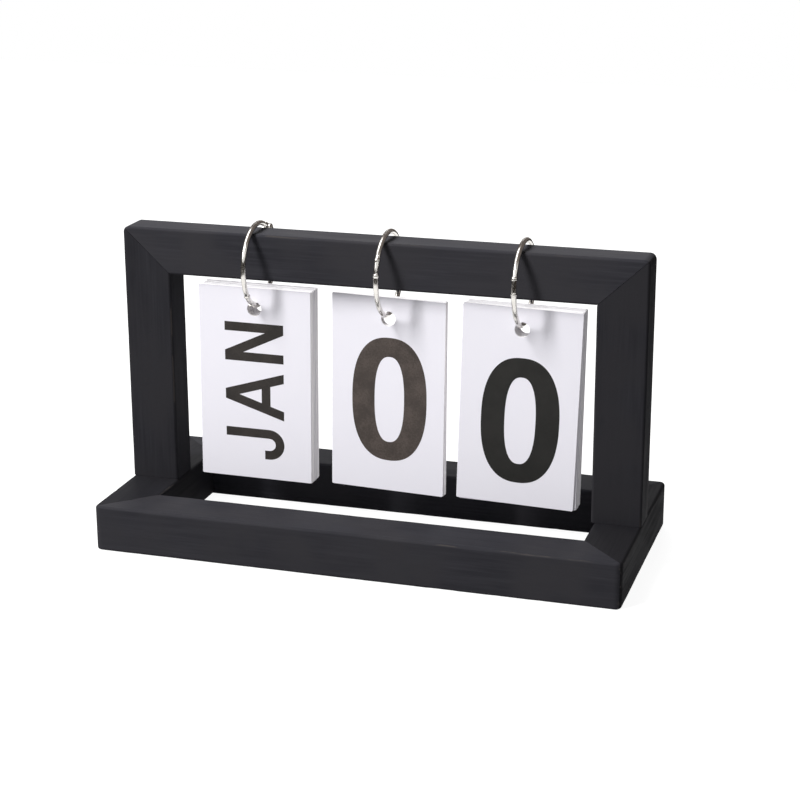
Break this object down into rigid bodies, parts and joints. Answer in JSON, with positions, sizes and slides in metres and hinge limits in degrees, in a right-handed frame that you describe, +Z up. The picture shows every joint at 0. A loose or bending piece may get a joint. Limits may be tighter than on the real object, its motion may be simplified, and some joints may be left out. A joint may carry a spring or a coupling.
{
  "type": "desk flip calendar",
  "caption": "Perpetual desk calendar: a dark wooden stand with an open base and an upright frame, whose top rail carries book rings with stacks of month and day cards to flip.",
  "frame": {"origin": "centre of the base's underside, on the surface it stands on", "axes": "+Z up, +X to the right along the rails as the cards are read, the first cards face -Y"},
  "size_m": [0.22, 0.097, 0.1324],
  "materials": {
    "wood": "matte black stain, edges worn",
    "screws": "plain",
    "rings": "polished nickel plate",
    "month_cards": "smooth coated card",
    "tens_cards": "smooth coated card",
    "units_cards": "smooth coated card"
  },
  "bodies": {
    "frame": {"base_front_rail": "wood", "base_back_rail": "wood", "base_left_rail": "wood", "base_right_rail": "wood", "left_post": "wood", "right_post": "wood", "top_rail": "wood", "left_post_screw": "screws", "right_post_screw": "screws"},
    "month_ring": {"month_ring_fixed_half": "rings", "month_ring_rivet": "rings"},
    "month_ring_opening": {"month_ring_opening_half": "rings"},
    "month_card_jan": {"month_card_jan": "month_cards"},
    "month_card_feb": {"month_card_feb": "month_cards"},
    "month_card_mar": {"month_card_mar": "month_cards"},
    "month_card_apr": {"month_card_apr": "month_cards"},
    "month_card_may": {"month_card_may": "month_cards"},
    "month_card_jun": {"month_card_jun": "month_cards"},
    "month_card_jul": {"month_card_jul": "month_cards"},
    "month_card_aug": {"month_card_aug": "month_cards"},
    "month_card_sep": {"month_card_sep": "month_cards"},
    "month_card_oct": {"month_card_oct": "month_cards"},
    "month_card_nov": {"month_card_nov": "month_cards"},
    "month_card_dec": {"month_card_dec": "month_cards"},
    "tens_ring": {"tens_ring_fixed_half": "rings", "tens_ring_rivet": "rings"},
    "tens_ring_opening": {"tens_ring_opening_half": "rings"},
    "tens_card_0": {"tens_card_0": "tens_cards"},
    "tens_card_1": {"tens_card_1": "tens_cards"},
    "tens_card_2": {"tens_card_2": "tens_cards"},
    "tens_card_3": {"tens_card_3": "tens_cards"},
    "units_ring": {"units_ring_fixed_half": "rings", "units_ring_rivet": "rings"},
    "units_ring_opening": {"units_ring_opening_half": "rings"},
    "units_card_0": {"units_card_0": "units_cards"},
    "units_card_1": {"units_card_1": "units_cards"},
    "units_card_2": {"units_card_2": "units_cards"},
    "units_card_3": {"units_card_3": "units_cards"},
    "units_card_4": {"units_card_4": "units_cards"},
    "units_card_5": {"units_card_5": "units_cards"},
    "units_card_6": {"units_card_6": "units_cards"},
    "units_card_7": {"units_card_7": "units_cards"},
    "units_card_8": {"units_card_8": "units_cards"},
    "units_card_9": {"units_card_9": "units_cards"}
  },
  "joints": [
    {"name": "month_ring_turn", "type": "hinge", "parent": "frame", "child": "month_ring", "pos_m": [-0.0532, -0.0013, 0.11436], "axis": [1, 0, 0], "range_deg": [-70, 0]},
    {"name": "month_ring_open", "type": "hinge", "parent": "month_ring", "child": "month_ring_opening", "pos_m": [-0.0532, 0.01004, 0.12696], "axis": [1, 0, 0], "range_deg": [-60, 0]},
    {"name": "month_card_jan_lift", "type": "hinge", "parent": "month_card_feb", "child": "month_card_jan", "pos_m": [-0.0532, -0.0013, 0.11436], "axis": [-1, 0, 0], "range_deg": [0, 72]},
    {"name": "month_card_feb_lift", "type": "hinge", "parent": "month_card_mar", "child": "month_card_feb", "pos_m": [-0.0532, -0.0013, 0.11436], "axis": [-1, 0, 0], "range_deg": [0, 1.5]},
    {"name": "month_card_mar_lift", "type": "hinge", "parent": "month_card_apr", "child": "month_card_mar", "pos_m": [-0.0532, -0.0013, 0.11436], "axis": [-1, 0, 0], "range_deg": [0, 1.5]},
    {"name": "month_card_apr_lift", "type": "hinge", "parent": "month_card_may", "child": "month_card_apr", "pos_m": [-0.0532, -0.0013, 0.11436], "axis": [-1, 0, 0], "range_deg": [0, 1.5]},
    {"name": "month_card_may_lift", "type": "hinge", "parent": "month_card_jun", "child": "month_card_may", "pos_m": [-0.0532, -0.0013, 0.11436], "axis": [-1, 0, 0], "range_deg": [0, 1.5]},
    {"name": "month_card_jun_lift", "type": "hinge", "parent": "month_card_jul", "child": "month_card_jun", "pos_m": [-0.0532, -0.0013, 0.11436], "axis": [-1, 0, 0], "range_deg": [0, 1.5]},
    {"name": "month_card_jul_lift", "type": "hinge", "parent": "month_card_aug", "child": "month_card_jul", "pos_m": [-0.0532, -0.0013, 0.11436], "axis": [-1, 0, 0], "range_deg": [0, 1.5]},
    {"name": "month_card_aug_lift", "type": "hinge", "parent": "month_card_sep", "child": "month_card_aug", "pos_m": [-0.0532, -0.0013, 0.11436], "axis": [-1, 0, 0], "range_deg": [0, 1.5]},
    {"name": "month_card_sep_lift", "type": "hinge", "parent": "month_card_oct", "child": "month_card_sep", "pos_m": [-0.0532, -0.0013, 0.11436], "axis": [-1, 0, 0], "range_deg": [0, 1.5]},
    {"name": "month_card_oct_lift", "type": "hinge", "parent": "month_card_nov", "child": "month_card_oct", "pos_m": [-0.0532, -0.0013, 0.11436], "axis": [-1, 0, 0], "range_deg": [0, 1.5]},
    {"name": "month_card_nov_lift", "type": "hinge", "parent": "month_card_dec", "child": "month_card_nov", "pos_m": [-0.0532, -0.0013, 0.11436], "axis": [-1, 0, 0], "range_deg": [0, 1.5]},
    {"name": "month_card_dec_lift", "type": "hinge", "parent": "frame", "child": "month_card_dec", "pos_m": [-0.0532, -0.0013, 0.11436], "axis": [-1, 0, 0], "range_deg": [-20, 10]},
    {"name": "tens_ring_turn", "type": "hinge", "parent": "frame", "child": "tens_ring", "pos_m": [0.0028, -0.0013, 0.11436], "axis": [1, 0, 0], "range_deg": [-20, 60]},
    {"name": "tens_ring_open", "type": "hinge", "parent": "tens_ring", "child": "tens_ring_opening", "pos_m": [0.0028, 0.01463, 0.10857], "axis": [1, 0, 0], "range_deg": [-60, 0]},
    {"name": "tens_card_0_lift", "type": "hinge", "parent": "tens_card_1", "child": "tens_card_0", "pos_m": [0.0028, -0.0013, 0.11436], "axis": [-1, 0, 0], "range_deg": [0, 80]},
    {"name": "tens_card_1_lift", "type": "hinge", "parent": "tens_card_2", "child": "tens_card_1", "pos_m": [0.0028, -0.0013, 0.11436], "axis": [-1, 0, 0], "range_deg": [0, 8]},
    {"name": "tens_card_2_lift", "type": "hinge", "parent": "tens_card_3", "child": "tens_card_2", "pos_m": [0.0028, -0.0013, 0.11436], "axis": [-1, 0, 0], "range_deg": [0, 8]},
    {"name": "tens_card_3_lift", "type": "hinge", "parent": "frame", "child": "tens_card_3", "pos_m": [0.0028, -0.0013, 0.11436], "axis": [-1, 0, 0], "range_deg": [-20, 10]},
    {"name": "units_ring_turn", "type": "hinge", "parent": "frame", "child": "units_ring", "pos_m": [0.0588, -0.0013, 0.11436], "axis": [1, 0, 0], "range_deg": [-25, 50]},
    {"name": "units_ring_open", "type": "hinge", "parent": "units_ring", "child": "units_ring_opening", "pos_m": [0.0588, 0.01549, 0.11201], "axis": [1, 0, 0], "range_deg": [-60, 0]},
    {"name": "units_card_0_lift", "type": "hinge", "parent": "units_card_1", "child": "units_card_0", "pos_m": [0.0588, -0.0013, 0.11436], "axis": [-1, 0, 0], "range_deg": [0, 70]},
    {"name": "units_card_1_lift", "type": "hinge", "parent": "units_card_2", "child": "units_card_1", "pos_m": [0.0588, -0.0013, 0.11436], "axis": [-1, 0, 0], "range_deg": [0, 2]},
    {"name": "units_card_2_lift", "type": "hinge", "parent": "units_card_3", "child": "units_card_2", "pos_m": [0.0588, -0.0013, 0.11436], "axis": [-1, 0, 0], "range_deg": [0, 2]},
    {"name": "units_card_3_lift", "type": "hinge", "parent": "units_card_4", "child": "units_card_3", "pos_m": [0.0588, -0.0013, 0.11436], "axis": [-1, 0, 0], "range_deg": [0, 2]},
    {"name": "units_card_4_lift", "type": "hinge", "parent": "units_card_5", "child": "units_card_4", "pos_m": [0.0588, -0.0013, 0.11436], "axis": [-1, 0, 0], "range_deg": [0, 2]},
    {"name": "units_card_5_lift", "type": "hinge", "parent": "units_card_6", "child": "units_card_5", "pos_m": [0.0588, -0.0013, 0.11436], "axis": [-1, 0, 0], "range_deg": [0, 2]},
    {"name": "units_card_6_lift", "type": "hinge", "parent": "units_card_7", "child": "units_card_6", "pos_m": [0.0588, -0.0013, 0.11436], "axis": [-1, 0, 0], "range_deg": [0, 2]},
    {"name": "units_card_7_lift", "type": "hinge", "parent": "units_card_8", "child": "units_card_7", "pos_m": [0.0588, -0.0013, 0.11436], "axis": [-1, 0, 0], "range_deg": [0, 2]},
    {"name": "units_card_8_lift", "type": "hinge", "parent": "units_card_9", "child": "units_card_8", "pos_m": [0.0588, -0.0013, 0.11436], "axis": [-1, 0, 0], "range_deg": [0, 2]},
    {"name": "units_card_9_lift", "type": "hinge", "parent": "frame", "child": "units_card_9", "pos_m": [0.0588, -0.0013, 0.11436], "axis": [-1, 0, 0], "range_deg": [-20, 10]}
  ]
}
